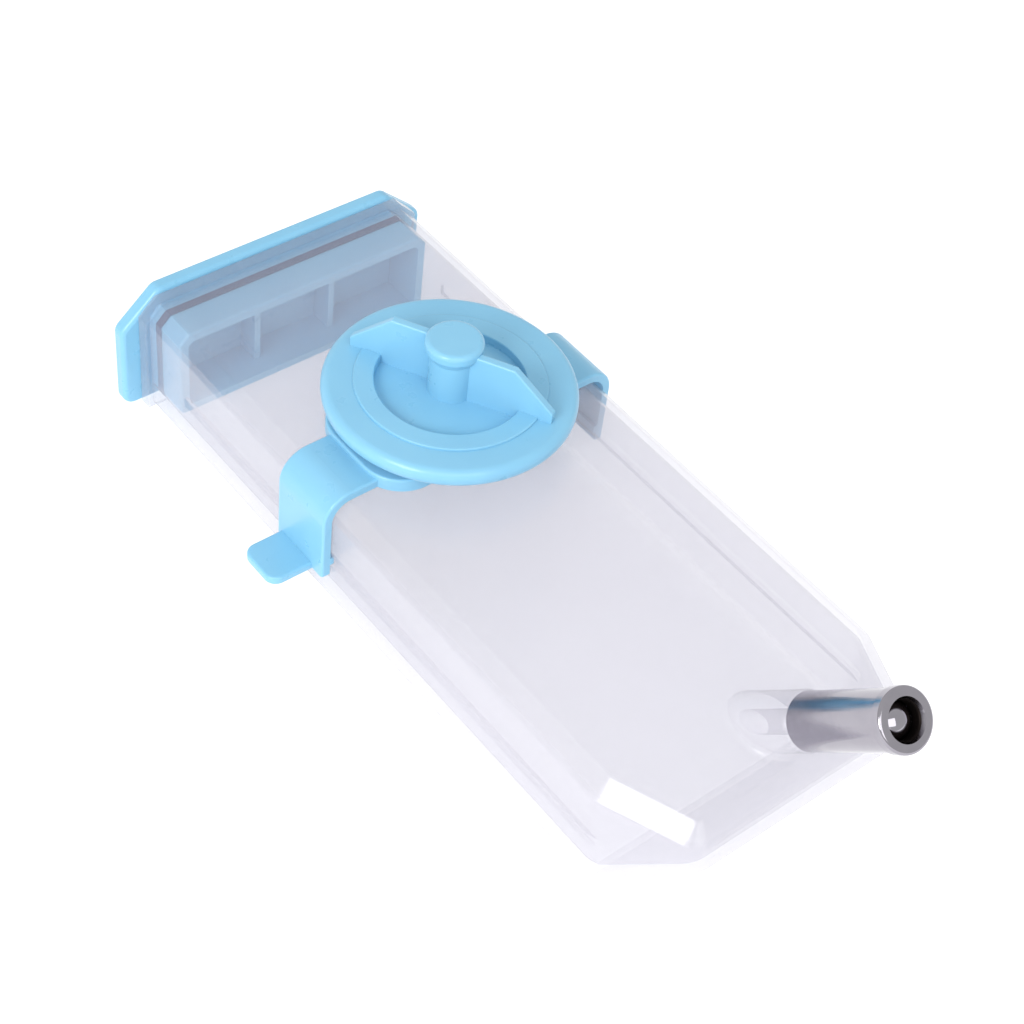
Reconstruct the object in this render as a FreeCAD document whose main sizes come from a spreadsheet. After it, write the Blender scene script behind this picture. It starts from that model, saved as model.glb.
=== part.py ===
import FreeCAD, Part
import math
import os
import re
import Sketcher
from FreeCAD import Placement, Rotation, Vector

# Hanging water bottle for a rabbit cage, in millimetres.
# The bottle lies on its back: +X is its width, +Y runs up to the lid, +Z comes out of its front.
# The origin is on the back face, where the axis of the cage clamp meets it.

SIZES = {
    # bottle
    "body_width": 76,
    "body_depth": 29.3,
    "body_length": 188,
    "mouth_reach": 68.3,      # clamp axis to the rim of the mouth
    "wall": 2,
    "edge_chamfer": 4,        # along the front edges
    "edge_round": 0.8,        # where that chamfer meets the front
    "end_width": 58,          # of the narrow end wall
    "cut_length": 21.5,       # of the slanted corner walls, along the bottle
    "drain_length": 19.7,     # of the sloping back that leads the last water to the spout
    "drain_rise": 17.8,
    "corner_radius": 6,
    "back_radius": 1.5,
    "bead_height": 3.6,       # thickened rim of the mouth
    "bead_proud": 1,
    "groove_low": 11.2,       # side grooves that the clip hooks run in
    "groove_width": 2.6,
    "groove_depth": 0.9,
    "groove_stop": 18.3,      # rim to the upper end of the grooves
    # spout boss and spigot
    "spout_from_end": 15.2,   # end wall to the point where the spout axis leaves the front
    "spout_tilt": 42.3,       # of the spout axis from the front's normal
    "boss_step": 0.3,         # how far the boss stands out past the tube
    "boss_bevel": 0.5,
    "boss_length": 16.4,
    "boss_fillet": 1.3,
    "spigot_length": 7,
    "spigot_bore": 5.2,
    # spout
    "tube_diameter": 12,
    "tube_wall": 0.8,
    "tube_length": 28.7,
    "spigot_fit": 0.1,
    "lip_length": 2.9,
    "lip_proud": 0.45,
    "seat_ledge": 0.7,        # how far the seat reaches in over the ball
    "seat_set_in": 3.4,
    "seat_cone": 2,
    "mouth_flare": 0.6,
    "ring_cord": 1.3,
    "ring_set_in": 2.4,
    "ball_play": 0.7,         # round the ball in the tube
    "ball_gap": 0.08,
    "spring_wire": 0.5,
    "spring_inset": 1.3,      # ball's outline to the middle of the wire
    "spring_pitch": 1.55,
    # lid
    "plate_thick": 4,
    "plate_side": 5.4,        # how far the plate stands out past the bottle's sides
    "plate_front": 1.9,
    "plate_back": 1.4,
    "plate_cut_across": 10.4,
    "plate_cut_down": 9.2,
    "plate_corner": 3,
    "plate_round": 1.2,
    "plate_gap": 0.1,
    "plug_fit": 0.35,
    "plug_depth": 13,
    "plug_wall": 2.4,
    "plug_ceiling": 2,
    "rib_spacing": 21.6,
    "rib_thick": 1.6,
    "rib_set_in": 5,
    "gasket_width": 2,
    "gasket_set_in": 3,       # rim to the gasket's near side
    "gasket_groove": 1.1,
    "gasket_fit": 0.05,
    # clip
    "clip_fit": 0.35,
    "clip_thick": 2.2,
    "clip_round": 0.6,        # on the edges of the arms, pad and tab
    "clip_width": 17.3,
    "clip_shift": 1.2,        # middle of the arms below the clamp axis
    "clip_inner_radius": 5,
    "arm_end": 8.6,
    "hook_gap": 0.3,
    "pad_width": 55,
    "pad_height": 31,
    "pad_corner": 10,
    "pad_thick": 3.3,
    "tab_width": 12,
    "tab_reach": 10.5,
    "tab_low": 7.8,
    "tab_radius": 3,
    # clamp
    "stud_diameter": 6,
    "stud_top": 49.2,
    "head_across": 10,
    "head_thick": 1.6,
    "wire_gap": 2.1,
    "washer_diameter": 24,
    "washer_thick": 0.8,
    "slip_gap": 0.05,
    "knob_radius": 28.8,
    "knob_rim": 4.5,
    "knob_rim_radius": 2,
    "rim_width": 7,           # disc's edge to the raised ring
    "ring_width": 4.7,
    "ring_raise": 0.6,
    "dish_floor": 2.7,
    "hub_wall": 1.1,          # round the insert
    "hub_height": 17.3,       # underside of the disc to the top of the hub
    "hub_head_step": 1.3,
    "hub_head_height": 2.4,
    "hub_flare": 2.2,
    "hub_cap": 2.2,
    "wing_angle": 60.5,       # from +X, clockwise seen from the front
    "wing_set_in": 4,         # disc's edge to the end of a wing
    "wing_taper": 9.6,        # length of a wing's sloping top
    "wing_end_height": 7.1,
    "wing_height": 15.8,
    "wing_thick": 2,
    "wing_shift": 1.2,        # middle of each wing from the clamp axis
    "insert_wall": 1.2,
    "insert_length": 8,
    "insert_set_in": 1.7,
    "thread_gap": 0.05,
    "overrun": 5,             # how far a cutting shape runs past what it cuts
}

doc = FreeCAD.newDocument("hanging_water_bottle")
sheet = doc.addObject("Spreadsheet::Sheet", "sizes")
for row, (alias, number) in enumerate(SIZES.items(), start=1):
    sheet.set(f"A{row}", alias)
    sheet.set(f"B{row}", str(number))
    sheet.setAlias(f"B{row}", alias)
doc.recompute()

WORD = re.compile(r"\b[a-z_]+\b")


def bound(text):
    """Write an expression of size names as one that reads the sheet."""
    return WORD.sub(lambda m: f"sizes.{m.group()}" if m.group() in SIZES else m.group(), text)


def number(text):
    """The value of an expression of size names."""
    result = sheet.evalExpression(bound(text))
    return float(getattr(result, "Value", result))


# Places that several pieces share, each one written from the sizes above.
HALF = "body_width / 2"
END_Y = "(mouth_reach - body_length)"
CUT_Y = f"({END_Y} + cut_length)"
DRAIN_Y = f"({END_Y} + drain_length)"
CUT_ANGLE = "atan((body_width - end_width) / 2 / cut_length)"
DRAIN_ANGLE = "atan(drain_rise / drain_length)"
CLIP_X = f"({HALF} + clip_fit)"
CLIP_Z = "(body_depth + clip_fit)"
PAD_TOP = f"({CLIP_Z} + pad_thick)"
WASHER_LOW = f"({PAD_TOP} + wire_gap)"
KNOB_LOW = f"({WASHER_LOW} + slip_gap)"
RECESS_TOP = f"({KNOB_LOW} + washer_thick)"
GASKET_TOP = "(mouth_reach - gasket_set_in)"
GROOVE_TOP = "(mouth_reach - groove_stop)"
FOOT_Y = f"({END_Y} + spout_from_end)"
BOSS = "(tube_diameter / 2 + boss_step)"
SPIGOT_TOP = "(boss_length + spigot_length)"
TUBE_BORE = "(tube_diameter / 2 - tube_wall)"
TIP = "(boss_length + tube_length)"
SEAT = f"({TIP} - seat_set_in)"
BALL = f"({TUBE_BORE} - ball_play)"
SEAT_BORE = f"({BALL} - seat_ledge)"
COIL = f"({BALL} - spring_inset)"
BALL_Z = f"({SEAT} - sqrt(({BALL} + ball_gap) ^ 2 - {SEAT_BORE} ^ 2))"
INSERT = "(stud_diameter / 2 + insert_wall)"
HUB = f"({INSERT} + hub_wall)"
HUB_HEAD = f"({HUB} + hub_head_step)"
RING_OUTER = "(knob_radius - rim_width)"
RING_INNER = f"({RING_OUTER} - ring_width)"
WING_END = "(knob_radius - wing_set_in)"


def new_body(label):
    body = doc.addObject("PartDesign::Body", label)
    body.Label = label
    return body


def new_sketch(body, name, plane, offset=None, turn=None):
    """Sketch on an origin plane; offset is an expression along its normal, turn a Placement."""
    sketch = body.newObject("Sketcher::SketchObject", name)
    origin = [o for o in body.Origin.OriginFeatures if o.Role == plane][0]
    sketch.AttachmentSupport = [(origin, "")]
    sketch.MapMode = "FlatFace"
    if turn is not None:
        sketch.AttachmentOffset = turn
    if offset is not None:
        sketch.setExpression("AttachmentOffset.Base.z", bound(offset))
    return sketch


def pin(sketch, geometry, point, across, up):
    """Hold one point of a sketch at two expressions measured from its origin."""
    for kind, text in (("DistanceX", across), ("DistanceY", up)):
        index = sketch.addConstraint(Sketcher.Constraint(kind, -1, 1, geometry, point, number(text)))
        sketch.setExpression(f"Constraints[{index}]", bound(text))


def add_polygon(sketch, corners):
    """Closed outline whose corners are pairs of expressions."""
    places = [Vector(number(a), number(b), 0) for a, b in corners]
    first = sketch.GeometryCount
    count = len(corners)
    for i in range(count):
        sketch.addGeometry(Part.LineSegment(places[i], places[(i + 1) % count]))
    for i in range(count):
        following = first + (i + 1) % count
        sketch.addConstraint(Sketcher.Constraint("Coincident", first + i, 2, following, 1))
    for i, (across, up) in enumerate(corners):
        pin(sketch, first + i, 1, across, up)
    return sketch


def add_circle(sketch, radius, across="0", up="0"):
    centre = Vector(number(across), number(up), 0)
    index = sketch.addGeometry(Part.Circle(centre, Vector(0, 0, 1), number(radius)))
    pin(sketch, index, 3, across, up)
    held = sketch.addConstraint(Sketcher.Constraint("Radius", index, number(radius)))
    sketch.setExpression(f"Constraints[{held}]", bound(radius))
    return sketch


def extrude(kind, body, name, sketch, length, reverse=False, both=False):
    """Pad or Pocket; a Pocket must make the body smaller and a Pad larger."""
    before = body.Shape.Volume if body.Tip else 0.0
    feature = body.newObject(f"PartDesign::{kind}", name)
    feature.Profile = sketch
    feature.setExpression("Length", bound(length))
    feature.Reversed = reverse
    if both:
        feature.SideType = "Symmetric"
    doc.recompute()
    change = feature.Shape.Volume - before
    assert change * (1 if kind == "Pad" else -1) > 0.001, f"{name} changed the volume by {change}"
    return feature


def revolve(body, name, sketch, kind="Revolution"):
    feature = body.newObject(f"PartDesign::{kind}", name)
    feature.Profile = sketch
    feature.ReferenceAxis = (sketch, ["V_Axis"])
    feature.Angle = 360
    doc.recompute()
    return feature


def dress(kind, body, name, size, wanted):
    """Fillet or chamfer the edges of the tip that wanted(edge) picks."""
    base = body.Tip
    edges = [f"Edge{i}" for i, e in enumerate(base.Shape.Edges, start=1) if wanted(e)]
    assert edges, f"{name} found no edge"
    feature = body.newObject(f"PartDesign::{kind}", name)
    feature.Base = (base, edges)
    feature.setExpression("Radius" if kind == "Fillet" else "Size", bound(size))
    doc.recompute()
    return feature


def near(value, target, slack=1e-3):
    return abs(value - target) < slack


def along(edge, axis):
    """True for a straight edge that runs along the axis."""
    if not isinstance(edge.Curve, Part.Line):
        return False
    return abs(edge.Curve.Direction.dot(axis)) > 1 - 1e-6


def middle(edge):
    return edge.valueAt((edge.FirstParameter + edge.LastParameter) / 2)


def flat_at(edge, axis, value):
    """True when the whole edge lies in the plane where that coordinate has the value."""
    ends = [edge.valueAt(edge.FirstParameter), middle(edge), edge.valueAt(edge.LastParameter)]
    return all(near(getattr(p, axis), value) for p in ends)


X, Y, Z = Vector(1, 0, 0), Vector(0, 1, 0), Vector(0, 0, 1)


def section(inset):
    """Cross-section of the bottle moved in by inset on every side, as corners in X and Z."""
    side = f"({HALF} - ({inset}))"
    top = f"(body_depth - ({inset}))"
    cut = f"(edge_chamfer - ({inset}) * (2 - sqrt(2)))"
    right = [(side, inset), (side, f"{top} - {cut}"), (f"{side} - {cut}", top)]
    left = [(f"-({a})", b) for a, b in reversed(right)]
    return right + left


def bottle_form(label, inset, over):
    """The bottle as a solid moved in by inset on every wall, with its mouth end raised by over."""
    body = new_body(label)
    tuck = f"({inset}) * tan({CUT_ANGLE} / 2)"
    narrow = f"(end_width / 2 - ({inset}) * tan((90 deg - {CUT_ANGLE}) / 2))"
    wide = f"({HALF} - ({inset}))"
    mouth = f"mouth_reach + {over}"
    right = [(wide, mouth), (wide, f"{CUT_Y} + {tuck}"), (narrow, f"{END_Y} + ({inset})")]
    left = [(f"-({a})", b) for a, b in reversed(right)]
    plan = new_sketch(body, label + "_plan", "XY_Plane", offset=inset)
    add_polygon(plan, right + left)
    extrude("Pad", body, label + "_block", plan, f"body_depth - 2 * ({inset})")
    lowest = number(f"{CUT_Y} + cut_length / 2")
    dress("Fillet", body, label + "_corners", f"corner_radius - ({inset})",
          lambda e: along(e, Z) and middle(e).y < lowest)
    back, top = number(inset), number(mouth)
    dress("Fillet", body, label + "_back_edges", "back_radius",
          lambda e: flat_at(e, "z", back) and not flat_at(e, "y", top))

    crest = f"{DRAIN_Y} + ({inset}) * tan({DRAIN_ANGLE} / 2)"
    end = f"{END_Y} + ({inset})"
    rise = f"drain_rise + ({inset}) * tan((90 deg - {DRAIN_ANGLE}) / 2)"
    drain = new_sketch(body, label + "_drain_side", "YZ_Plane")
    beyond = f"{end} - overrun"
    add_polygon(drain, [(crest, inset), (beyond, inset),
                        (beyond, f"{rise} + overrun * drain_rise / drain_length")])
    extrude("Pocket", body, label + "_drain", drain, "2 * body_width", both=True)

    front = number(f"body_depth - ({inset})")
    dress("Chamfer", body, label + "_front_edges", f"edge_chamfer - ({inset}) * (2 - sqrt(2))",
          lambda e: flat_at(e, "z", front) and not flat_at(e, "y", top))
    dress("Fillet", body, label + "_front_rounding", "edge_round",
          lambda e: flat_at(e, "z", front) and not flat_at(e, "y", top))
    return body


def spout_sketch(body, name):
    """Sketch through the spout axis: its own Y runs out along the spout, its X is the radius."""
    place = Placement(Vector(0, 0, 0), Rotation(Z, number("spout_tilt")))
    sketch = new_sketch(body, name, "YZ_Plane", turn=place)
    sketch.setExpression("AttachmentOffset.Base.x", bound(FOOT_Y))
    sketch.setExpression("AttachmentOffset.Base.y", bound("body_depth"))
    sketch.setExpression("AttachmentOffset.Rotation.Angle", bound("spout_tilt * 1 deg"))
    return sketch


def place_on_spout(body):
    """Stand a piece whose own Z is the spout axis in the bottle's spout."""
    body.Placement = Placement(Vector(0, 0, 0), Rotation(X, number("spout_tilt")))
    body.setExpression("Placement.Base.y", bound(FOOT_Y))
    body.setExpression("Placement.Base.z", bound("body_depth"))
    body.setExpression("Placement.Rotation.Angle", bound("spout_tilt * 1 deg"))


def make_bottle():
    outer = bottle_form("bottle_outside", "0", "0")
    bead = new_sketch(outer, "bead_outline", "XZ_Plane", offset="-mouth_reach")
    add_polygon(bead, section("-bead_proud"))
    extrude("Pad", outer, "mouth_bead", bead, "bead_height")
    rim, shoulder = number("mouth_reach"), number("mouth_reach - bead_height")
    proud = number(f"{HALF} + bead_proud")
    dress("Fillet", outer, "bead_round", "bead_proud * 0.45",
          lambda e: flat_at(e, "y", rim) or (flat_at(e, "y", shoulder) and outside(e, proud)))

    low, high = "groove_low", "groove_low + groove_width"
    tracks = new_sketch(outer, "groove_ends", "XZ_Plane", offset=f"-{GROOVE_TOP}")
    for sign in ("", "-"):
        floor = f"{sign}({HALF} - groove_depth)"
        clear = f"{sign}({HALF} + overrun)"
        add_polygon(tracks, [(floor, low), (clear, low), (clear, high), (floor, high)])
    extrude("Pocket", outer, "side_grooves", tracks, f"{GROOVE_TOP} + body_length", reverse=True)

    root = f"-({BOSS} * sin(spout_tilt * 1 deg) + wall / 2) / cos(spout_tilt * 1 deg)"
    ring_low = f"{SPIGOT_TOP} - ring_set_in - ring_cord"
    ring_high = f"{SPIGOT_TOP} - ring_set_in"
    neck = f"({TUBE_BORE} - spigot_fit)"
    waist = f"({TUBE_BORE} - ring_cord)"
    boss = spout_sketch(outer, "boss_profile")
    add_polygon(boss, [("0", root), (BOSS, root), (BOSS, "boss_length - boss_bevel"),
                       (f"{BOSS} - boss_bevel", "boss_length"),
                       (neck, "boss_length"), (neck, ring_low), (waist, ring_low),
                       (waist, ring_high), (neck, ring_high), (neck, SPIGOT_TOP), ("0", SPIGOT_TOP)])
    revolve(outer, "spout_boss", boss)
    front = number("body_depth")
    reach = number(BOSS) * 1.5
    foot = Vector(0, number(FOOT_Y), front)
    dress("Fillet", outer, "boss_foot", "boss_fillet",
          lambda e: flat_at(e, "z", front) and (middle(e) - foot).Length < reach)

    core = bottle_form("bottle_inside", "wall", "2 * overrun")
    inner_end, outer_end = f"-({BOSS} + overrun)", f"{SPIGOT_TOP} + overrun"
    bore = spout_sketch(core, "bore_profile")
    add_polygon(bore, [("0", inner_end), ("spigot_bore / 2", inner_end),
                       ("spigot_bore / 2", outer_end), ("0", outer_end)])
    revolve(core, "spout_bore", bore)

    bottle = doc.addObject("Part::Cut", "bottle_body")
    bottle.Base = outer
    bottle.Tool = core
    bottle.Label = "bottle_body"
    return bottle


def outside(edge, half):
    """True when the edge belongs to the outline that stands proud of the bottle's walls."""
    point = middle(edge)
    front = number("body_depth + bead_proud")
    low = -number("bead_proud")
    slant = abs(point.x) + point.z - number(f"{HALF} + body_depth - edge_chamfer")
    return (near(abs(point.x), half) or near(point.z, front) or near(point.z, low)
            or near(slant, number("bead_proud * sqrt(2)")))


def make_lid():
    lid = new_body("lid")
    side = f"({HALF} + plate_side)"
    front = "(body_depth + plate_front)"
    right = [(side, "-plate_back"), (side, f"{front} - plate_cut_down"),
             (f"{side} - plate_cut_across", front)]
    left = [(f"-({a})", b) for a, b in reversed(right)]
    plate = new_sketch(lid, "plate_outline", "XZ_Plane", offset="-(mouth_reach + plate_gap)")
    add_polygon(plate, right + left)
    extrude("Pad", lid, "plate", plate, "plate_thick", reverse=True)
    dress("Fillet", lid, "plate_corners", "plate_corner", lambda e: along(e, Y))
    top = number("mouth_reach + plate_gap + plate_thick")
    seat = number("mouth_reach + plate_gap")
    dress("Fillet", lid, "plate_rounding", "plate_round",
          lambda e: flat_at(e, "y", top) or flat_at(e, "y", seat))

    plug = new_sketch(lid, "plug_outline", "XZ_Plane", offset="-(mouth_reach + plate_gap)")
    add_polygon(plug, section("wall + plug_fit"))
    extrude("Pad", lid, "plug", plug, "plug_depth")
    plug_back = number("wall + plug_fit")
    under = number("mouth_reach + plate_gap") + 1e-3
    dress("Fillet", lid, "plug_back_edges", "back_radius",
          lambda e: along(e, Y) and near(middle(e).z, plug_back) and middle(e).y < under)
    end = number("mouth_reach + plate_gap - plug_depth")
    dress("Fillet", lid, "plug_rounding", "plug_fit * 2", lambda e: flat_at(e, "y", end))

    inner = "wall + plug_fit + plug_wall"
    hollow = new_sketch(lid, "hollow_outline", "XZ_Plane",
                        offset="-(mouth_reach + plate_gap - plug_depth)")
    add_polygon(hollow, section(inner))
    extrude("Pocket", lid, "hollow", hollow, "rib_set_in")

    low, high = f"({inner})", f"(body_depth - ({inner}))"
    edge = f"({HALF} - ({inner}))"
    cut = f"(edge_chamfer - ({inner}) * (2 - sqrt(2)))"
    post = "(rib_spacing - rib_thick) / 2"
    beyond = "(rib_spacing + rib_thick) / 2"
    cells = new_sketch(lid, "cell_outlines", "XZ_Plane",
                       offset="-(mouth_reach + plate_gap - plug_depth + rib_set_in)")
    add_polygon(cells, [(f"-{post}", low), (post, low), (post, high), (f"-{post}", high)])
    for sign in ("", "-"):
        add_polygon(cells, [(f"{sign}{beyond}", low), (f"{sign}{edge}", low),
                            (f"{sign}{edge}", f"{high} - {cut}"),
                            (f"{sign}({edge} - {cut})", high), (f"{sign}{beyond}", high)])
    extrude("Pocket", lid, "cells", cells, "plug_depth - rib_set_in - plug_ceiling")

    channel = new_sketch(lid, "gasket_groove_outline", "XZ_Plane", offset=f"-{GASKET_TOP}")
    add_polygon(channel, section("wall - 1"))
    add_polygon(channel, section("wall + plug_fit + gasket_groove"))
    extrude("Pocket", lid, "gasket_groove", channel, "gasket_width", reverse=True)
    return lid


def make_gasket():
    gasket = new_body("lid_gasket")
    ring = new_sketch(gasket, "gasket_outline", "XZ_Plane", offset=f"-{GASKET_TOP}")
    add_polygon(ring, section("wall + gasket_fit"))
    add_polygon(ring, section("wall + plug_fit + gasket_groove"))
    extrude("Pad", gasket, "gasket", ring, "gasket_width")
    back, front = number("wall + gasket_fit"), number("body_depth - wall - gasket_fit")
    dress("Fillet", gasket, "gasket_back_edges", "back_radius",
          lambda e: along(e, Y) and near(middle(e).z, back))
    dress("Fillet", gasket, "gasket_front_edges", "edge_round",
          lambda e: along(e, Y) and near(middle(e).z, front))
    return gasket


def make_clip():
    clip = new_body("clip_bracket")
    outer_x, outer_z = f"({CLIP_X} + clip_thick)", f"({CLIP_Z} + clip_thick)"
    low, high = "(groove_low + hook_gap)", "(groove_low + groove_width - hook_gap)"
    tip = f"({HALF} - groove_depth + hook_gap)"
    right = [(outer_x, outer_z), (outer_x, "arm_end"), (CLIP_X, "arm_end"), (CLIP_X, low),
             (tip, low), (tip, high), (CLIP_X, high), (CLIP_X, CLIP_Z)]
    left = [(f"-({a})", b) for a, b in reversed(right)]
    profile = new_sketch(clip, "clip_profile", "XZ_Plane", offset="clip_shift")
    add_polygon(profile, right + left)
    extrude("Pad", clip, "clip_band", profile, "clip_width", both=True)
    inner_z = number(CLIP_Z)
    band_z = number(outer_z)
    dress("Fillet", clip, "inner_bends", "clip_inner_radius",
          lambda e: along(e, Y) and near(middle(e).z, inner_z))
    dress("Fillet", clip, "outer_bends", "clip_inner_radius + clip_thick",
          lambda e: along(e, Y) and near(middle(e).z, band_z))

    side_z, side_x = number(f"{outer_z} - clip_inner_radius - clip_thick"), number(outer_x)
    ends = number("clip_width / 2 - clip_shift"), -number("clip_width / 2 + clip_shift")
    dress("Fillet", clip, "arm_rounding", "clip_round",
          lambda e: any(flat_at(e, "y", end) for end in ends)
          and on_outer_face(middle(e), side_x, side_z, band_z))

    across, up = "pad_width / 2", "pad_height / 2"
    lug = new_sketch(clip, "pad_outline", "XY_Plane", offset=CLIP_Z)
    add_polygon(lug, [(across, up), (f"-{across}", up), (f"-{across}", f"-{up}"), (across, f"-{up}")])
    extrude("Pad", clip, "clamp_pad", lug, "pad_thick")
    pad_end = number(up)
    dress("Fillet", clip, "pad_corners", "pad_corner",
          lambda e: along(e, Z) and near(abs(middle(e).y), pad_end))
    pad_top = number(PAD_TOP)
    dress("Fillet", clip, "pad_rounding", "clip_round", lambda e: flat_at(e, "z", pad_top))

    outer_end = f"-({outer_x} + tab_reach)"
    inner_end = f"-({CLIP_X} + clip_thick / 2)"
    half = "tab_width / 2"
    tab = new_sketch(clip, "tab_outline", "XY_Plane", offset="tab_low")
    add_polygon(tab, [(inner_end, half), (outer_end, half),
                      (outer_end, f"-{half}"), (inner_end, f"-{half}")])
    extrude("Pad", clip, "finger_tab", tab, "clip_thick")
    tab_end = number(outer_end)
    dress("Fillet", clip, "tab_corners", "tab_radius",
          lambda e: along(e, Z) and near(middle(e).x, tab_end))
    levels = number("tab_low"), number("tab_low + clip_thick")
    dress("Fillet", clip, "tab_rounding", "clip_round",
          lambda e: any(flat_at(e, "z", level) for level in levels) and middle(e).x < -side_x - 0.1)

    seat = new_sketch(clip, "head_pocket_outline", "XY_Plane", offset=CLIP_Z)
    across = "head_across / 2"
    add_polygon(seat, [(across, across), (f"-{across}", across),
                       (f"-{across}", f"-{across}"), (across, f"-{across}")])
    extrude("Pocket", clip, "head_pocket", seat, "head_thick", reverse=True)
    hole = new_sketch(clip, "stud_hole_outline", "XY_Plane", offset=CLIP_Z)
    add_circle(hole, "stud_diameter / 2")
    extrude("Pocket", clip, "stud_hole", hole, "pad_thick", reverse=True)
    return clip


def on_outer_face(point, side_x, side_z, band_z):
    """True on the outer face of the clip's band, the bends included."""
    if near(point.z, band_z) or near(abs(point.x), side_x):
        return True
    corner = side_x - band_z + side_z
    reach = math.hypot(abs(point.x) - corner, point.z - side_z)
    return point.z > side_z and abs(point.x) > corner and near(reach, band_z - side_z)


def make_stud():
    stud = new_body("clamp_stud")
    across = "head_across / 2"
    head = new_sketch(stud, "stud_head_outline", "XY_Plane", offset=CLIP_Z)
    add_polygon(head, [(across, across), (f"-{across}", across),
                       (f"-{across}", f"-{across}"), (across, f"-{across}")])
    extrude("Pad", stud, "stud_head", head, "head_thick")
    shank = new_sketch(stud, "stud_shank_outline", "XY_Plane", offset=CLIP_Z)
    add_circle(shank, "stud_diameter / 2")
    extrude("Pad", stud, "stud_shank", shank, f"stud_top - {CLIP_Z}")
    top = number("stud_top")
    dress("Chamfer", stud, "stud_point", "stud_diameter / 8", lambda e: flat_at(e, "z", top))
    return stud


def make_washer():
    washer = new_body("slip_washer")
    ring = new_sketch(washer, "washer_outline", "XY_Plane", offset=WASHER_LOW)
    add_circle(ring, "washer_diameter / 2")
    add_circle(ring, "stud_diameter / 2 + 2 * thread_gap")
    extrude("Pad", washer, "washer_plate", ring, "washer_thick")
    return washer


def make_knob():
    knob = new_body("clamp_knob")
    rim_top = f"({KNOB_LOW} + knob_rim)"
    floor = f"({KNOB_LOW} + dish_floor)"
    top = f"({KNOB_LOW} + hub_height)"
    ring_top = f"({rim_top} + ring_raise)"
    recess = "washer_diameter / 2 + 4 * slip_gap"
    insert_top = f"({RECESS_TOP} + insert_set_in + insert_length)"
    bore = "stud_diameter / 2 + 4 * thread_gap"
    head_low = f"({top} - hub_head_height)"
    profile = new_sketch(knob, "knob_profile", "XZ_Plane")
    add_polygon(profile, [
        (INSERT, RECESS_TOP), (recess, RECESS_TOP), (recess, KNOB_LOW), ("knob_radius", KNOB_LOW),
        ("knob_radius", rim_top), (RING_OUTER, rim_top), (RING_OUTER, ring_top),
        (RING_INNER, ring_top), (RING_INNER, floor), (HUB, floor),
        (HUB, f"{head_low} - hub_flare"), (HUB_HEAD, head_low),
        (HUB_HEAD, top), ("0", top), ("0", f"{top} - hub_cap"),
        (bore, f"{top} - hub_cap"), (bore, insert_top), (INSERT, insert_top)])
    revolve(knob, "knob_disc", profile)
    radius = number("knob_radius")
    dress("Fillet", knob, "rim_rounding", "knob_rim_radius",
          lambda e: is_ring(e, radius) and middle(e).z > number(KNOB_LOW) - 1)
    head = number(HUB_HEAD)
    crown = number(top)
    dress("Fillet", knob, "hub_rounding", "hub_head_height / 2",
          lambda e: is_ring(e, head) and flat_at(e, "z", crown))
    ring = number(RING_OUTER), number(RING_INNER)
    ring_level = number(ring_top)
    dress("Fillet", knob, "ring_rounding", "ring_raise * 0.6",
          lambda e: flat_at(e, "z", ring_level) and any(is_ring(e, r) for r in ring))

    blade = new_sketch(knob, "wing_profile", "XZ_Plane",
                       turn=Placement(Vector(0, 0, 0), Rotation(-Y, number("wing_angle"))))
    blade.setExpression("AttachmentOffset.Rotation.Angle", bound("wing_angle * 1 deg"))
    blade.setExpression("AttachmentOffset.Base.x", bound("-wing_shift * sin(wing_angle * 1 deg)"))
    blade.setExpression("AttachmentOffset.Base.z", bound("wing_shift * cos(wing_angle * 1 deg)"))
    root = f"({floor} - dish_floor / 3)"
    add_polygon(blade, [(f"{HUB} * 0.8", root), (WING_END, root),
                        (WING_END, f"{KNOB_LOW} + wing_end_height"),
                        (f"{WING_END} - wing_taper", f"{KNOB_LOW} + wing_height"),
                        (f"{HUB} * 0.8", f"{KNOB_LOW} + wing_height")])
    wing = extrude("Pad", knob, "wing", blade, "wing_thick", both=True)
    pair = knob.newObject("PartDesign::PolarPattern", "wing_pair")
    pair.Originals = [wing]
    pair.Axis = (profile, ["V_Axis"])
    pair.Angle = 360
    pair.Occurrences = 2
    knob.Tip = pair
    doc.recompute()
    low, high = number(f"{ring_top} + 0.2"), number(f"{KNOB_LOW} + wing_height")
    dress("Fillet", knob, "wing_rounding", "wing_thick / 5",
          lambda e: isinstance(e.Curve, Part.Line) and not along(e, Z)
          and low < middle(e).z < high + 0.01 and abs(side_of_wing(e)) > number("wing_thick / 2") - 0.01)
    return knob


def is_ring(edge, radius):
    return isinstance(edge.Curve, Part.Circle) and near(edge.Curve.Radius, radius) \
        and near(Vector(edge.Curve.Center.x, edge.Curve.Center.y, 0).Length, 0)


def side_of_wing(edge):
    """Distance of an edge's middle from the middle plane of its own wing."""
    turn = math.radians(number("wing_angle"))
    point = middle(edge)
    out = point.x * math.cos(turn) - point.y * math.sin(turn)
    aside = -point.x * math.sin(turn) - point.y * math.cos(turn)
    return aside - math.copysign(number("wing_shift"), out)


def make_insert():
    insert = new_body("knob_insert")
    low = f"({RECESS_TOP} + insert_set_in)"
    ring = new_sketch(insert, "insert_outline", "XY_Plane", offset=low)
    add_circle(ring, INSERT)
    add_circle(ring, "stud_diameter / 2 + thread_gap")
    extrude("Pad", insert, "insert_barrel", ring, "insert_length")
    return insert


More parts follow.
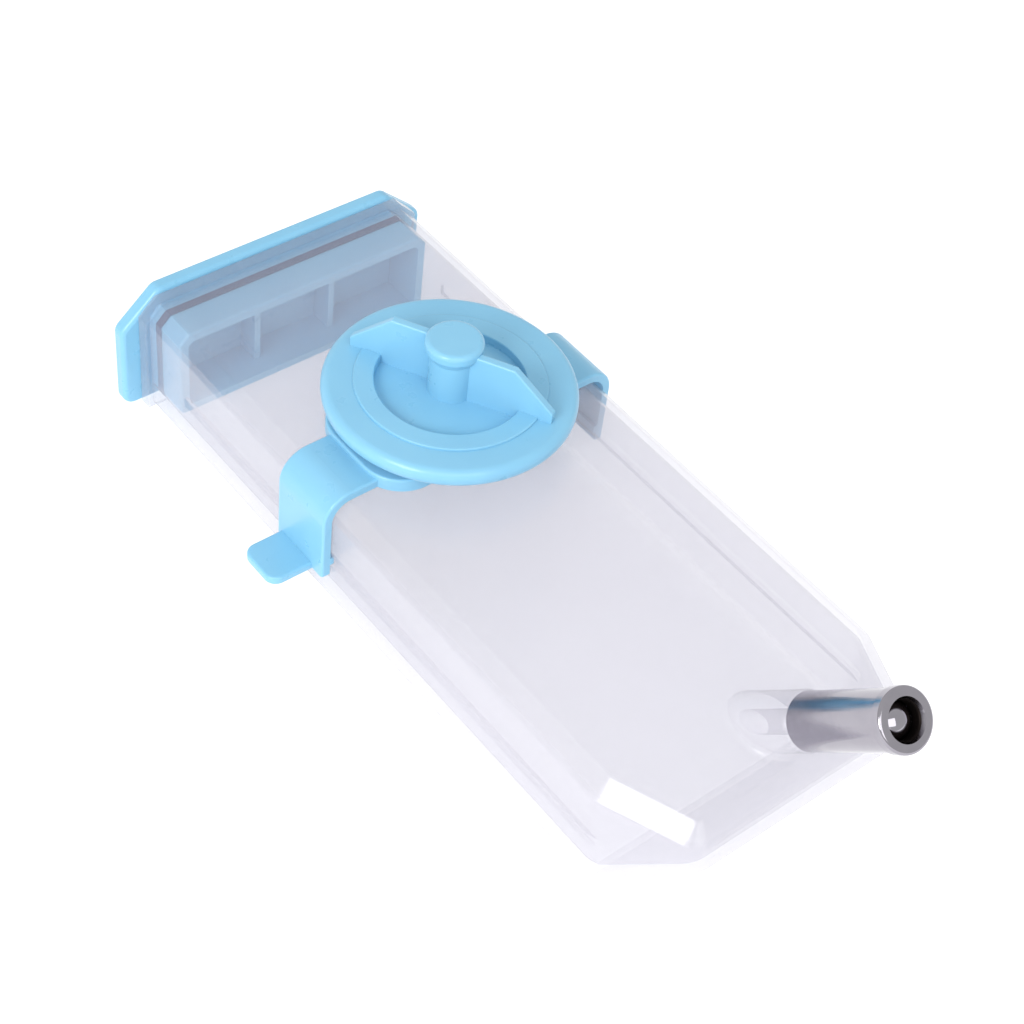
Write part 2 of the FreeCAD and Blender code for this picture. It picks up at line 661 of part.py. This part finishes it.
def make_tube():
    tube = new_body("spout_tube")
    wide = "tube_diameter / 2"
    lip = f"({wide} + lip_proud)"
    lip_low = f"({TIP} - lip_length)"
    profile = new_sketch(tube, "tube_profile", "XZ_Plane")
    add_polygon(profile, [
        (TUBE_BORE, "boss_length"), (wide, "boss_length"), (wide, lip_low),
        (lip, f"{lip_low} + lip_proud"), (lip, TIP), (f"{SEAT_BORE} + mouth_flare", TIP),
        (SEAT_BORE, f"{TIP} - 2 * mouth_flare"), (SEAT_BORE, SEAT), (TUBE_BORE, f"{SEAT} - seat_cone")])
    revolve(tube, "tube", profile)
    tip = number(TIP)
    dress("Fillet", tube, "lip_rounding", "lip_length / 4",
          lambda e: is_ring(e, number(lip)) and flat_at(e, "z", tip))
    place_on_spout(tube)
    return tube


def make_ring():
    ring = new_body("spout_ring")
    profile = new_sketch(ring, "ring_profile", "XZ_Plane")
    add_circle(profile, "ring_cord / 2", f"{TUBE_BORE} - ring_cord / 2",
               f"{SPIGOT_TOP} - ring_set_in - ring_cord / 2")
    revolve(ring, "ring", profile)
    place_on_spout(ring)
    return ring


def make_ball():
    ball = doc.addObject("Part::Sphere", "valve_ball")
    ball.Label = "valve_ball"
    ball.setExpression("Radius", bound(BALL))
    ball.Placement = Placement(Vector(0, 0, 0), Rotation(X, number("spout_tilt")))
    tilt = "spout_tilt * 1 deg"
    ball.setExpression("Placement.Base.y", bound(f"{FOOT_Y} - {BALL_Z} * sin({tilt})"))
    ball.setExpression("Placement.Base.z", bound(f"body_depth + {BALL_Z} * cos({tilt})"))
    return ball


def make_spring():
    spring = new_body("valve_spring")
    wire = new_sketch(spring, "wire_profile", "XZ_Plane")
    start = f"({SPIGOT_TOP} + spring_wire)"
    add_circle(wire, "spring_wire / 2", COIL, start)
    helix = spring.newObject("PartDesign::AdditiveHelix", "coil")
    helix.Profile = wire
    helix.ReferenceAxis = (wire, ["V_Axis"])
    helix.Mode = "pitch-height-angle"
    helix.setExpression("Pitch", bound("spring_pitch"))
    touch = f"{BALL_Z} - sqrt({BALL} ^ 2 - {COIL} ^ 2)"
    helix.setExpression("Height", bound(f"{touch} - {start} - spring_wire / 2 - ball_gap"))
    doc.recompute()
    place_on_spout(spring)
    return spring


pieces = [make_bottle(), make_lid(), make_gasket(), make_clip(), make_stud(), make_washer(),
          make_knob(), make_insert(), make_tube(), make_ring(), make_ball(), make_spring()]
doc.recompute()

for item in doc.Objects:
    assert not {"Invalid", "Error"} & set(item.State), f"{item.Name}: {item.State}"
os.makedirs("parts", exist_ok=True)
for piece in pieces:
    shape = piece.Shape
    assert not shape.isNull() and shape.isValid(), f"{piece.Label} is not a valid shape"
    assert len(shape.Solids) == 1, f"{piece.Label} has {len(shape.Solids)} solids"
    print(piece.Label, round(shape.Volume, 1), shape.BoundBox)
for piece in pieces:
    piece.Shape.exportStep(os.path.join("parts", f"{piece.Label}.step"))
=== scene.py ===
import math

import bmesh
import bpy
from mathutils import Matrix, Vector


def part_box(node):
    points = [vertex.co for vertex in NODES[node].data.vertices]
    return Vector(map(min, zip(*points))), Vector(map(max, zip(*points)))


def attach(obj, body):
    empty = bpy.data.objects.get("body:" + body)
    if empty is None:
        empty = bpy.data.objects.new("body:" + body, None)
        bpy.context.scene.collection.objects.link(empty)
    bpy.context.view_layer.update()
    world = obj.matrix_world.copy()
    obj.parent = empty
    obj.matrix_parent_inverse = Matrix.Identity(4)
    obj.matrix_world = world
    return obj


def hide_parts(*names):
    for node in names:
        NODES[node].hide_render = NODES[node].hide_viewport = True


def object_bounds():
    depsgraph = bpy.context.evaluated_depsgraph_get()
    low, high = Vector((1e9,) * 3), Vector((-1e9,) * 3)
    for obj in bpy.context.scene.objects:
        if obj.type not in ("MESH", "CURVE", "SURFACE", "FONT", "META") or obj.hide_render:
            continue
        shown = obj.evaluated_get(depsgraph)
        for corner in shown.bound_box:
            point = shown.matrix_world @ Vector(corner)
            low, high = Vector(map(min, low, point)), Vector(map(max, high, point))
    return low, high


bl_info = {
    "name": "Hanging Water Bottle",
    "version": (1, 0, 0),
    "blender": (4, 2, 0),
    "location": "View3D > Sidebar > Water Bottle",
    "description": "Finishes a clip-on water bottle for small animals and builds its studio",
    "category": "Object",
}

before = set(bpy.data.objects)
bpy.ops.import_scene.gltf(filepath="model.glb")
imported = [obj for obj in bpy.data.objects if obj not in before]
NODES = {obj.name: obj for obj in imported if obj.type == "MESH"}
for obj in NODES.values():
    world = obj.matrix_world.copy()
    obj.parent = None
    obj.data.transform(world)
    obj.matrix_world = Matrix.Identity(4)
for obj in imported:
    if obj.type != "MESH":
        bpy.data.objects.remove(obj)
CAD_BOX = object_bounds()

MM = 0.001

BALL_LOW, BALL_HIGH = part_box("valve_ball")
STUD_LOW, STUD_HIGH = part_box("clamp_stud")

# The spout leans from the front of the bottle toward its closed end.
SPOUT_TILT = math.radians(42.3)
# Everything on the tube within this of its axis counts as bore.
BORE_RADIUS = 4.0 * MM

# The stud is 6 mm over its thread and stands on a head 1.6 mm thick.
CREST_RADIUS = 3.0 * MM
HEAD_THICK = 1.6 * MM
THREAD_STEPS = 48         # points round the thread
THREAD_ROWS = 12          # rings of points in one turn
THREAD_SHARPNESS = 0.8    # 1 is a plain V; less widens the groove
PLAIN_TURNS = 0.5         # of bare shank before the thread begins
POINT_LENGTH = CREST_RADIUS / 4

# Refractive index of polypropylene, its mirror share seen square on, and the power in
# Schlick's curve for how that share grows toward a glancing view.
PLASTIC_IOR = 1.49
SQUARE_ON_MIRROR = 0.04
SCHLICK_POWER = 5.0
# Share of the wall's scattered light that goes on through it.
THROUGH_SHARE = 0.45

# Studio, in metres: each softbox has its place, the point it faces and its width.
KEY_PLACE, KEY_AIM, KEY_WIDTH = (-0.92, -0.29, 0.65), (0, -0.05, 0.02), 0.45
FILL_PLACE, FILL_AIM, FILL_WIDTH = (-0.35, -0.95, 0.85), (0, -0.03, 0.02), 0.8

# Camera: place in metres, then azimuth, elevation and roll of its back axis in degrees.
CAMERA_PLACE = (-0.2231, -0.2570, 0.3588)
CAMERA_TURN = (-43.87, 46.50, 7.72)
LENS_LENGTH = 73.94
SENSOR_WIDTH = 36


# Colours and nodes

def colour(code, alpha=1.0):
    """Linear RGBA from an sRGB hex code."""
    parts = [int(code[i:i + 2], 16) / 255 for i in (1, 3, 5)]
    linear = [c / 12.92 if c <= 0.04045 else ((c + 0.055) / 1.055) ** 2.4 for c in parts]
    return (*linear, alpha)


def add(tree, kind, settings=None, links=None):
    """Add a node. settings fills attributes or input sockets, links feeds sockets from outputs."""
    node = tree.nodes.new("ShaderNode" + kind)
    for name, value in (settings or {}).items():
        if isinstance(name, str) and hasattr(node, name):
            setattr(node, name, value)
        else:
            node.inputs[name].default_value = value
    for name, output in (links or {}).items():
        tree.links.new(output, node.inputs[name])
    return node


def new_material(name):
    """Empty material with its output and a place to read positions in metres."""
    material = bpy.data.materials.new(name)
    material.use_nodes = True
    tree = material.node_tree
    tree.nodes.clear()
    output = add(tree, "OutputMaterial")
    place = add(tree, "TexCoord").outputs["Object"]
    return material, tree, output, place


def wrap_up(tree, output, shader):
    tree.links.new(shader, output.inputs["Surface"])


def per_metre(size_mm):
    """Noise scale whose features are about size_mm across."""
    return 1 / (size_mm * MM)


# Materials

def blue_polypropylene(look):
    """Injection-moulded polypropylene, pigmented pale blue, from a satin-polished mould."""
    material, tree, output, place = new_material("blue_moulded_polypropylene")
    # Pigment varies slowly over the moulding, by a few hundredths in brightness.
    flow = add(tree, "TexNoise", {"Scale": per_metre(14), "Detail": 2.0}, {"Vector": place})
    tint = add(tree, "ValToRGB", None, {"Fac": flow.outputs["Fac"]})
    tint.color_ramp.elements[0].position = 0.35
    tint.color_ramp.elements[0].color = look.blue_deep
    tint.color_ramp.elements[1].position = 0.65
    tint.color_ramp.elements[1].color = look.blue
    # Handling scuffs the gloss in patches of a few millimetres.
    scuff = add(tree, "TexNoise", {"Scale": per_metre(5), "Detail": 4.0}, {"Vector": place})
    gloss = add(tree, "MapRange", {"To Min": 0.24, "To Max": 0.34}, {"Value": scuff.outputs["Fac"]})
    # Spark-eroded mould grain is about 0.1 mm; it is drawn at 0.35 mm so that it shows.
    grain = add(tree, "TexNoise", {"Scale": per_metre(0.35), "Detail": 3.0}, {"Vector": place})
    bump = add(tree, "Bump", {"Strength": 0.08, "Distance": 0.03 * MM},
               {"Height": grain.outputs["Fac"]})
    shader = add(tree, "BsdfPrincipled",
                 {"IOR": PLASTIC_IOR, "Subsurface Weight": 0.12, "Subsurface Scale": 1.5 * MM,
                  "Subsurface Radius": (0.7, 0.9, 1.0)},
                 {"Base Color": tint.outputs["Color"], "Roughness": gloss.outputs["Result"],
                  "Normal": bump.outputs["Normal"]})
    wrap_up(tree, output, shader.outputs["BSDF"])
    return material


def natural_polypropylene(look):
    """Unpigmented blow-moulded polypropylene: milky, so what lies behind it shows softened."""
    material, tree, output, place = new_material("natural_moulded_polypropylene")
    # Seen along the wall the light crosses more plastic, so the edges look whiter.
    slant = add(tree, "LayerWeight", {"Blend": 0.35})
    # Wall thickness and crystal haze drift over a few centimetres.
    haze = add(tree, "TexNoise", {"Scale": per_metre(35), "Detail": 2.0}, {"Vector": place})
    drift = add(tree, "MapRange", {"To Min": -0.02, "To Max": 0.02}, {"Value": haze.outputs["Fac"]})
    milk = add(tree, "MapRange", {"To Min": look.milk, "To Max": look.milk_edge},
               {"Value": slant.outputs["Facing"]})
    cover = add(tree, "Math", {"operation": "ADD", "use_clamp": True},
                {0: milk.outputs["Result"], 1: drift.outputs["Result"]})
    # Faint flow marks from blowing, about 12 mm apart.
    flow = add(tree, "TexNoise", {"Scale": per_metre(12), "Detail": 2.0}, {"Vector": place})
    gloss = add(tree, "MapRange", {"To Min": 0.20, "To Max": 0.28}, {"Value": flow.outputs["Fac"]})
    bump = add(tree, "Bump", {"Strength": 0.04, "Distance": 0.10 * MM},
               {"Height": flow.outputs["Fac"]})
    tint = add(tree, "ValToRGB", None, {"Fac": haze.outputs["Fac"]})
    tint.color_ramp.elements[0].color = look.milk_shade
    tint.color_ramp.elements[1].color = look.milk_light
    # Haze inside the wall sends some light back and nearly as much through.
    back = add(tree, "BsdfDiffuse", None, {"Color": tint.outputs["Color"]})
    through = add(tree, "BsdfTranslucent", None, {"Color": tint.outputs["Color"]})
    cloud = add(tree, "MixShader", {0: THROUGH_SHARE},
                {1: back.outputs["BSDF"], 2: through.outputs["BSDF"]})
    clear = add(tree, "BsdfTransparent", {"Color": look.milk_clear})
    wall = add(tree, "MixShader", None, {0: cover.outputs["Value"], 1: clear.outputs["BSDF"],
                                         2: cloud.outputs["Shader"]})
    # The skin mirrors softly over haze and clear plastic alike.
    skin = add(tree, "BsdfGlossy", None, {"Roughness": gloss.outputs["Result"],
                                          "Normal": bump.outputs["Normal"]})
    # Schlick's curve, the same from inside and outside, because light isn't bent in this wall.
    # At a blend of one half, Facing is one less the cosine of the angle.
    slope = add(tree, "LayerWeight", {"Blend": 0.5})
    curve = add(tree, "Math", {"operation": "POWER", 1: SCHLICK_POWER},
                {0: slope.outputs["Facing"]})
    mirror = add(tree, "MapRange", {"To Min": SQUARE_ON_MIRROR, "To Max": 1.0},
                 {"Value": curve.outputs["Value"]})
    surface = add(tree, "MixShader", None,
                  {0: mirror.outputs["Result"], 1: wall.outputs["Shader"],
                   2: skin.outputs["BSDF"]})
    wrap_up(tree, output, surface.outputs["Shader"])
    return material


def bore_share(tree, place, radius):
    """1 within that radius of the spout's axis, 0 elsewhere."""
    # The axis runs through the middle of the ball, square to the tube's end.
    centre = (BALL_LOW + BALL_HIGH) / 2
    turned = add(tree, "Mapping", {"vector_type": "TEXTURE", "Location": centre,
                                   "Rotation": (SPOUT_TILT, 0, 0)}, {"Vector": place})
    parts = add(tree, "SeparateXYZ", None, {"Vector": turned.outputs["Vector"]})
    flat = add(tree, "CombineXYZ", None, {"X": parts.outputs["X"], "Y": parts.outputs["Y"]})
    reach = add(tree, "VectorMath", {"operation": "LENGTH"}, {0: flat.outputs["Vector"]})
    inside = add(tree, "Math", {"operation": "LESS_THAN", 1: radius},
                 {0: reach.outputs["Value"]})
    return inside.outputs["Value"]


def worked_steel(name, look, low, high, lines_mm, depth, bore=None):
    """Bright steel with fine working lines; low and high bound the roughness.
    Inside the bore radius, if one is given, the steel is dull and darkened with painted shade."""
    material, tree, output, place = new_material(name)
    # The lines lie level, across Z, drawn coarser than real ones, which are too fine to show.
    stretch = add(tree, "Mapping", {"Scale": (0.1, 0.1, 1.0)}, {"Vector": place})
    lines = add(tree, "TexNoise", {"Scale": per_metre(lines_mm), "Detail": 2.0},
                {"Vector": stretch.outputs["Vector"]})
    smear = add(tree, "TexNoise", {"Scale": per_metre(4), "Detail": 3.0}, {"Vector": place})
    both = add(tree, "Math", {"operation": "MULTIPLY"},
               {0: lines.outputs["Fac"], 1: smear.outputs["Fac"]})
    gloss = add(tree, "MapRange", {"From Max": 0.5, "To Min": low, "To Max": high},
                {"Value": both.outputs["Value"]})
    bump = add(tree, "Bump", {"Strength": depth, "Distance": 0.01 * MM},
               {"Height": lines.outputs["Fac"]})
    shade = add(tree, "ValToRGB", None, {"Fac": smear.outputs["Fac"]})
    shade.color_ramp.elements[0].color = look.steel_shade
    shade.color_ramp.elements[1].color = look.steel
    base, dull = shade.outputs["Color"], gloss.outputs["Result"]
    if bore is not None:
        # Inside the bore the base colour is darkened with painted shade, standing for the shade
        # within the tube; the duller roughness is the unpolished steel's own.
        within = bore_share(tree, place, bore)
        bore_shading = add(tree, "Mix", {"data_type": "RGBA", 7: look.bore_painted_shade},
                    {0: within, 6: base})
        base = bore_shading.outputs[2]
        haze = add(tree, "MapRange", {"To Max": 0.45, "To Min": 0.0}, {"Value": within})
        dull = add(tree, "Math", {"operation": "MAXIMUM"},
                   {0: dull, 1: haze.outputs["Result"]}).outputs["Value"]
    shader = add(tree, "BsdfPrincipled", {"Metallic": 1.0},
                 {"Base Color": base, "Roughness": dull, "Normal": bump.outputs["Normal"]})
    wrap_up(tree, output, shader.outputs["BSDF"])
    return material


def turned_brass(look):
    """Free-cutting brass as it leaves the lathe: warm yellow with fine feed lines."""
    material, tree, output, place = new_material("turned_brass")
    stretch = add(tree, "Mapping", {"Scale": (0.1, 0.1, 1.0)}, {"Vector": place})
    lines = add(tree, "TexNoise", {"Scale": per_metre(0.3), "Detail": 2.0},
                {"Vector": stretch.outputs["Vector"]})
    shade = add(tree, "ValToRGB", None, {"Fac": lines.outputs["Fac"]})
    shade.color_ramp.elements[0].color = colour("#B58E45")
    shade.color_ramp.elements[1].color = colour("#D9B76A")
    gloss = add(tree, "MapRange", {"To Min": 0.22, "To Max": 0.36}, {"Value": lines.outputs["Fac"]})
    shader = add(tree, "BsdfPrincipled", {"Metallic": 1.0},
                 {"Base Color": shade.outputs["Color"], "Roughness": gloss.outputs["Result"]})
    wrap_up(tree, output, shader.outputs["BSDF"])
    return material


def moulded_seal(name, dark, light, rough):
    """Moulded rubber or plain plastic: soft sheen, with a faint bloom that drifts over it."""
    material, tree, output, place = new_material(name)
    bloom = add(tree, "TexNoise", {"Scale": per_metre(3), "Detail": 4.0}, {"Vector": place})
    tint = add(tree, "ValToRGB", None, {"Fac": bloom.outputs["Fac"]})
    tint.color_ramp.elements[0].color = dark
    tint.color_ramp.elements[1].color = light
    # The grain of the mould's skin is drawn at 0.2 mm.
    skin = add(tree, "TexNoise", {"Scale": per_metre(0.2), "Detail": 2.0}, {"Vector": place})
    bump = add(tree, "Bump", {"Strength": 0.2, "Distance": 0.02 * MM},
               {"Height": skin.outputs["Fac"]})
    gloss = add(tree, "MapRange", {"To Min": rough - 0.06, "To Max": rough + 0.06},
                {"Value": bloom.outputs["Fac"]})
    shader = add(tree, "BsdfPrincipled", {"IOR": 1.45},
                 {"Base Color": tint.outputs["Color"], "Roughness": gloss.outputs["Result"],
                  "Normal": bump.outputs["Normal"]})
    wrap_up(tree, output, shader.outputs["BSDF"])
    return material


def light_table(look):
    """Matt opal acrylic that glows evenly, with a barely visible mottle."""
    material, tree, output, place = new_material("opal_acrylic_light_table")
    mottle = add(tree, "TexNoise", {"Scale": per_metre(1.5), "Detail": 4.0}, {"Vector": place})
    tint = add(tree, "ValToRGB", None, {"Fac": mottle.outputs["Fac"]})
    tint.color_ramp.elements[0].color = colour("#B4B4B6")
    tint.color_ramp.elements[1].color = colour("#BCBCBE")
    shader = add(tree, "BsdfPrincipled",
                 {"Roughness": 0.9, "IOR": 1.3, "Emission Color": colour("#FFFFFF"),
                  "Emission Strength": look.table_glow},
                 {"Base Color": tint.outputs["Color"]})
    wrap_up(tree, output, shader.outputs["BSDF"])
    return material


def dress(node, material):
    """Give a CAD node its finish."""
    piece = NODES[node]
    piece.data.materials.clear()
    piece.data.materials.append(material)
    return piece


# Settings a user may change

class BottleSizes(bpy.types.PropertyGroup):
    thread_pitch: bpy.props.FloatProperty(
        name="Thread Pitch", description="Advance of the clamp's thread in one turn",
        default=1.0 * MM, unit="LENGTH", precision=5)
    thread_depth: bpy.props.FloatProperty(
        name="Thread Depth", description="Depth of the clamp's thread below its crests",
        default=0.5 * MM, unit="LENGTH", precision=5)
    floor_reach: bpy.props.FloatProperty(
        name="Floor Reach", description="Half the width of the light table",
        default=4.0, unit="LENGTH")


class BottleLook(bpy.types.PropertyGroup):
    blue: bpy.props.FloatVectorProperty(
        name="Blue", description="Lid, clip and knob", subtype="COLOR", size=4,
        min=0, max=1, default=colour("#84BFDD"))
    blue_deep: bpy.props.FloatVectorProperty(
        name="Deep Blue", description="Pigment where it is denser", subtype="COLOR", size=4,
        min=0, max=1, default=colour("#80BBDA"))
    milk_light: bpy.props.FloatVectorProperty(
        name="Milk Light", description="Bottle plastic", subtype="COLOR", size=4,
        min=0, max=1, default=colour("#EEECF4"))
    milk_shade: bpy.props.FloatVectorProperty(
        name="Milk Shade", description="Bottle plastic where it is hazier", subtype="COLOR",
        size=4, min=0, max=1, default=colour("#E6E4EE"))
    steel: bpy.props.FloatVectorProperty(
        name="Steel", description="Polished steel", subtype="COLOR", size=4,
        min=0, max=1, default=colour("#ABA8AF"))
    steel_shade: bpy.props.FloatVectorProperty(
        name="Steel Shade", description="Polished steel where it is smeared", subtype="COLOR",
        size=4, min=0, max=1, default=colour("#9A979F"))
    # Painted shade: a near-black colour standing for the shade inside the spout's bore, over the
    # unpolished steel there.
    bore_painted_shade: bpy.props.FloatVectorProperty(
        name="Bore Painted Shade", description="Unpolished steel inside the spout", subtype="COLOR",
        size=4, min=0, max=1, default=colour("#2B2624"))
    milk_clear: bpy.props.FloatVectorProperty(
        name="Milk Clear", description="Tint of light that crosses the wall straight",
        subtype="COLOR", size=4, min=0, max=1, default=colour("#F9F9FA"))
    milk: bpy.props.FloatProperty(
        name="Milkiness", description="Share of light that one face of the wall stops",
        default=0.08, min=0, max=1, subtype="FACTOR")
    milk_edge: bpy.props.FloatProperty(
        name="Edge Milkiness", description="The same where the wall is seen along its surface",
        default=0.46, min=0, max=1, subtype="FACTOR")
    table_glow: bpy.props.FloatProperty(
        name="Table Glow", description="Light the table gives off by itself",
        default=0.75, min=0, soft_max=2)
    sky: bpy.props.FloatProperty(
        name="Sky", description="Strength of the even white light all round",
        default=0.80, min=0, soft_max=2)
    key_power: bpy.props.FloatProperty(
        name="Key Power", description="Softbox that glances off the slanted corner walls",
        default=7, min=0, unit="POWER")
    fill_power: bpy.props.FloatProperty(
        name="Fill Power", description="Softbox beside the camera", default=4, min=0,
        unit="POWER")


# Operators

class BOTTLE_OT_body(bpy.types.Operator):
    """Finish the bottle, with its boss and mouth rim"""
    bl_idname = "bottle.body"
    bl_label = "Bottle Body"

    def execute(self, context):
        dress("bottle_body", natural_polypropylene(context.scene.bottle_look))
        return {"FINISHED"}


class BOTTLE_OT_blue_parts(bpy.types.Operator):
    """Finish the lid, the clip and the knob, which come from one blue plastic"""
    bl_idname = "bottle.blue_parts"
    bl_label = "Lid, Clip and Knob"

    def execute(self, context):
        plastic = blue_polypropylene(context.scene.bottle_look)
        for node in ("lid", "clip_bracket", "clamp_knob"):
            dress(node, plastic)
        return {"FINISHED"}


class BOTTLE_OT_seals(bpy.types.Operator):
    """Finish the lid's gasket, the spout's ring and the slip washer"""
    bl_idname = "bottle.seals"
    bl_label = "Seals and Washer"

    def execute(self, context):
        # Silicone tinted slate blue; nitrile is nearly black; acetal is off-white.
        dress("lid_gasket", moulded_seal("moulded_silicone", colour("#3A4D70"),
                                              colour("#465B80"), 0.45))
        dress("spout_ring", moulded_seal("moulded_nitrile", colour("#161617"),
                                              colour("#232325"), 0.55))
        dress("slip_washer", moulded_seal("moulded_acetal", colour("#E4E4E0"),
                                               colour("#F0F0EC"), 0.35))
        return {"FINISHED"}


class BOTTLE_OT_spout(bpy.types.Operator):
    """Finish the spout's tube, ball and spring"""
    bl_idname = "bottle.spout"
    bl_label = "Spout"

    def execute(self, context):
        look = context.scene.bottle_look
        tube_steel = worked_steel("polished_stainless_tube", look, 0.10, 0.18, 0.4, 0.05,
                                  bore=BORE_RADIUS)
        dress("spout_tube", tube_steel)
        dress("valve_ball", worked_steel("polished_stainless_ball", look, 0.05, 0.09, 0.6, 0.02))
        dress("valve_spring", worked_steel("drawn_stainless_wire", look, 0.20, 0.32, 0.2, 0.10))
        return {"FINISHED"}


class BOTTLE_OT_clamp_thread(bpy.types.Operator):
    """Cut a real thread on the clamp's stud, and finish the insert that runs on it"""
    bl_idname = "bottle.clamp_thread"
    bl_label = "Clamp Thread"

    def execute(self, context):
        sizes = context.scene.bottle_sizes
        look = context.scene.bottle_look
        stud = threaded_stud(sizes.thread_pitch, sizes.thread_depth)
        stud.data.materials.append(worked_steel("zinc_plated_steel", look, 0.22, 0.36, 0.25, 0.10))
        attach(stud, "clip")
        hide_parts("clamp_stud")
        dress("knob_insert", turned_brass(look))
        return {"FINISHED"}


def threaded_stud(pitch, depth):
    """Square-headed stud with a helical thread, in the space of the plain CAD stud."""
    half_head = (STUD_HIGH.x - STUD_LOW.x) / 2
    head_top = STUD_LOW.z + HEAD_THICK
    rows = round((STUD_HIGH.z - head_top) / pitch * THREAD_ROWS)
    mesh = bpy.data.meshes.new("threaded_stud")
    build = bmesh.new()

    rings = []
    for row in range(rows + 1):
        z = head_top + (STUD_HIGH.z - head_top) * row / rows
        left = STUD_HIGH.z - z
        # The first part above the head stays plain, and the tip tapers.
        share = min(1.0, max(0.0, (z - head_top) / pitch - PLAIN_TURNS))
        taper = max(0.0, POINT_LENGTH - left)
        ring = []
        for step in range(THREAD_STEPS):
            angle = 2 * math.pi * step / THREAD_STEPS
            phase = ((z - head_top) / pitch - step / THREAD_STEPS) % 1.0
            groove = depth * share * (1 - abs(2 * phase - 1)) ** THREAD_SHARPNESS
            radius = CREST_RADIUS - max(groove, taper)
            ring.append(build.verts.new((radius * math.cos(angle), radius * math.sin(angle), z)))
        rings.append(ring)
    for low, high in zip(rings, rings[1:]):
        for i in range(THREAD_STEPS):
            j = (i + 1) % THREAD_STEPS
            build.faces.new((low[i], low[j], high[j], high[i]))
    build.faces.new(rings[-1])

    # The square head closes the foot: its top face is a band from the first ring to the square.
    def square_point(angle, z):
        across, up = math.cos(angle), math.sin(angle)
        scale = half_head / max(abs(across), abs(up))
        return (across * scale, up * scale, z)

    top = [build.verts.new(square_point(2 * math.pi * i / THREAD_STEPS, head_top))
           for i in range(THREAD_STEPS)]
    foot = [build.verts.new(square_point(2 * math.pi * i / THREAD_STEPS, STUD_LOW.z))
            for i in range(THREAD_STEPS)]
    for i in range(THREAD_STEPS):
        j = (i + 1) % THREAD_STEPS
        build.faces.new((top[i], top[j], rings[0][j], rings[0][i]))
        build.faces.new((foot[i], foot[j], top[j], top[i]))
    build.faces.new(list(reversed(foot)))
    bmesh.ops.recalc_face_normals(build, faces=build.faces)
    build.to_mesh(mesh)
    build.free()
    stud = bpy.data.objects.new("threaded_stud", mesh)
    bpy.context.scene.collection.objects.link(stud)
    return stud


def soft_panel(name, place, aim, width, power):
    """Square softbox at place, turned to face aim."""
    lamp = bpy.data.lights.new(name, "AREA")
    lamp.shape = "SQUARE"
    lamp.size = width
    lamp.energy = power
    panel = bpy.data.objects.new(name, lamp)
    panel.location = place
    panel.rotation_euler = (Vector(aim) - Vector(place)).to_track_quat("-Z", "Y").to_euler()
    bpy.context.scene.collection.objects.link(panel)
    return panel


class BOTTLE_OT_stage(bpy.types.Operator):
    """Lay the light table, hang the softboxes and set the camera"""
    bl_idname = "bottle.stage"
    bl_label = "Table, Lights and Camera"

    def execute(self, context):
        look = context.scene.bottle_look
        reach = context.scene.bottle_sizes.floor_reach
        mesh = bpy.data.meshes.new("studio_floor")
        level = CAD_BOX[0].z
        corners = [(-reach, -reach, level), (reach, -reach, level),
                   (reach, reach, level), (-reach, reach, level)]
        mesh.from_pydata(corners, [], [(0, 1, 2, 3)])
        floor = bpy.data.objects.new("studio_floor", mesh)
        floor.data.materials.append(light_table(look))
        bpy.context.scene.collection.objects.link(floor)

        world = bpy.data.worlds.new("studio_world")
        world.use_nodes = True
        backdrop = world.node_tree.nodes["Background"]
        backdrop.inputs["Color"].default_value = (1.0, 1.0, 1.0, 1.0)
        backdrop.inputs["Strength"].default_value = look.sky
        context.scene.world = world

        # The key glances off the slanted corner walls; the fill stands beside the camera.
        soft_panel("key_softbox", KEY_PLACE, KEY_AIM, KEY_WIDTH, look.key_power)
        soft_panel("fill_softbox", FILL_PLACE, FILL_AIM, FILL_WIDTH, look.fill_power)

        azimuth, elevation, roll = (math.radians(angle) for angle in CAMERA_TURN)
        back = Vector((math.sin(azimuth) * math.cos(elevation),
                       -math.cos(azimuth) * math.cos(elevation), math.sin(elevation)))
        right = (-back).cross(Vector((0, 0, 1))).normalized()
        up = right.cross(-back)
        turned_right = math.cos(roll) * right + math.sin(roll) * up
        turned_up = -math.sin(roll) * right + math.cos(roll) * up
        axes = Matrix((turned_right, turned_up, back)).transposed()
        lens = bpy.data.cameras.new("studio_camera")
        lens.lens = LENS_LENGTH
        lens.sensor_width = SENSOR_WIDTH
        camera = bpy.data.objects.new("studio_camera", lens)
        camera.matrix_world = Matrix.Translation(CAMERA_PLACE) @ axes.to_4x4()
        bpy.context.scene.collection.objects.link(camera)
        context.scene.camera = camera
        context.scene.view_settings.view_transform = "Standard"
        return {"FINISHED"}


OPERATORS = (BOTTLE_OT_body, BOTTLE_OT_blue_parts, BOTTLE_OT_seals, BOTTLE_OT_spout,
             BOTTLE_OT_clamp_thread, BOTTLE_OT_stage)


class BOTTLE_PT_panel(bpy.types.Panel):
    """Sidebar list of the bottle's steps"""
    bl_label = "Water Bottle"
    bl_space_type = "VIEW_3D"
    bl_region_type = "UI"
    bl_category = "Water Bottle"

    def draw(self, context):
        for operator in OPERATORS:
            self.layout.operator(operator.bl_idname)
        for group in (context.scene.bottle_sizes, context.scene.bottle_look):
            for name in group.__annotations__:
                self.layout.prop(group, name)


CLASSES = (BottleSizes, BottleLook, *OPERATORS, BOTTLE_PT_panel)


def register():
    for item in CLASSES:
        bpy.utils.register_class(item)
    bpy.types.Scene.bottle_sizes = bpy.props.PointerProperty(type=BottleSizes)
    bpy.types.Scene.bottle_look = bpy.props.PointerProperty(type=BottleLook)


def unregister():
    del bpy.types.Scene.bottle_look
    del bpy.types.Scene.bottle_sizes
    for item in reversed(CLASSES):
        bpy.utils.unregister_class(item)


def main():
    register()
    for operator in OPERATORS:
        group, name = operator.bl_idname.split(".")
        getattr(getattr(bpy.ops, group), name)()


if __name__ == "__main__":
    main()
